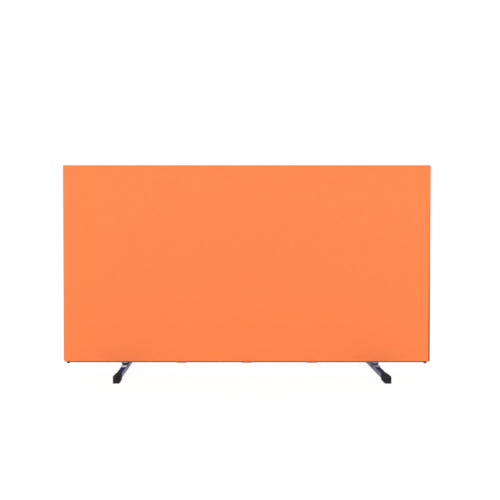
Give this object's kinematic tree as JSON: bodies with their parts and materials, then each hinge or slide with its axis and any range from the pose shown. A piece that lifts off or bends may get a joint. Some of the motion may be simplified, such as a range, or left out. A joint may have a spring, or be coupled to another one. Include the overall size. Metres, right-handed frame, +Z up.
{
  "type": "table tennis barrier",
  "caption": "Low free-standing court barrier: a square tube frame in a taut orange cloth cover, on two swivel feet with rubber caps.",
  "frame": {"origin": "on the floor, under the middle of the cover", "axes": "+X along the barrier, -Y the way the front of the cover faces, +Z up"},
  "size_m": [1.4, 0.34, 0.7842],
  "materials": {
    "cover_cloth": "woven, coated, matte",
    "tab_webbing": "woven webbing",
    "navy_paint": "gloss powder coat",
    "navy_plastic": "moulded",
    "black_nylon": "turned",
    "black_rubber": "moulded, matte",
    "zinc": "zinc plated",
    "plain_steel": "bright drawn"
  },
  "bodies": {
    "frame": {"front_cloth": "cover_cloth", "back_cloth": "cover_cloth", "top_gusset": "cover_cloth", "left_gusset": "cover_cloth", "right_gusset": "cover_cloth", "left_closure_tab": "tab_webbing", "centre_closure_tab": "tab_webbing", "right_closure_tab": "tab_webbing", "top_rail": "navy_paint", "bottom_rail": "navy_paint", "left_post": "navy_paint", "right_post": "navy_paint", "top_left_connector": "navy_plastic", "top_right_connector": "navy_plastic", "bottom_left_connector": "navy_plastic", "bottom_right_connector": "navy_plastic", "left_friction_washer": "black_nylon", "right_friction_washer": "black_nylon", "left_swivel_boss": "zinc", "right_swivel_boss": "zinc", "left_pivot_bolt": "zinc", "right_pivot_bolt": "zinc", "left_spring_washer": "plain_steel", "right_spring_washer": "plain_steel", "left_crush_sleeve": "plain_steel", "right_crush_sleeve": "plain_steel", "left_flat_washer": "zinc", "right_flat_washer": "zinc", "left_lock_nut": "zinc", "right_lock_nut": "zinc"},
    "left_foot": {"left_foot_tube": "navy_paint", "left_foot_plate": "zinc", "left_front_cap": "black_rubber", "left_rear_cap": "black_rubber", "left_front_rivet": "zinc", "left_rear_rivet": "zinc"},
    "right_foot": {"right_foot_tube": "navy_paint", "right_foot_plate": "zinc", "right_front_cap": "black_rubber", "right_rear_cap": "black_rubber", "right_front_rivet": "zinc", "right_rear_rivet": "zinc"}
  },
  "joints": [
    {"name": "left_foot_swivel", "type": "hinge", "parent": "frame", "child": "left_foot", "pos_m": [-0.4655, 0, 0.0248], "axis": [0, 0, 1], "range_deg": [-90, 90]},
    {"name": "right_foot_swivel", "type": "hinge", "parent": "frame", "child": "right_foot", "pos_m": [0.492, 0, 0.0248], "axis": [0, 0, 1], "range_deg": [-90, 90]}
  ]
}
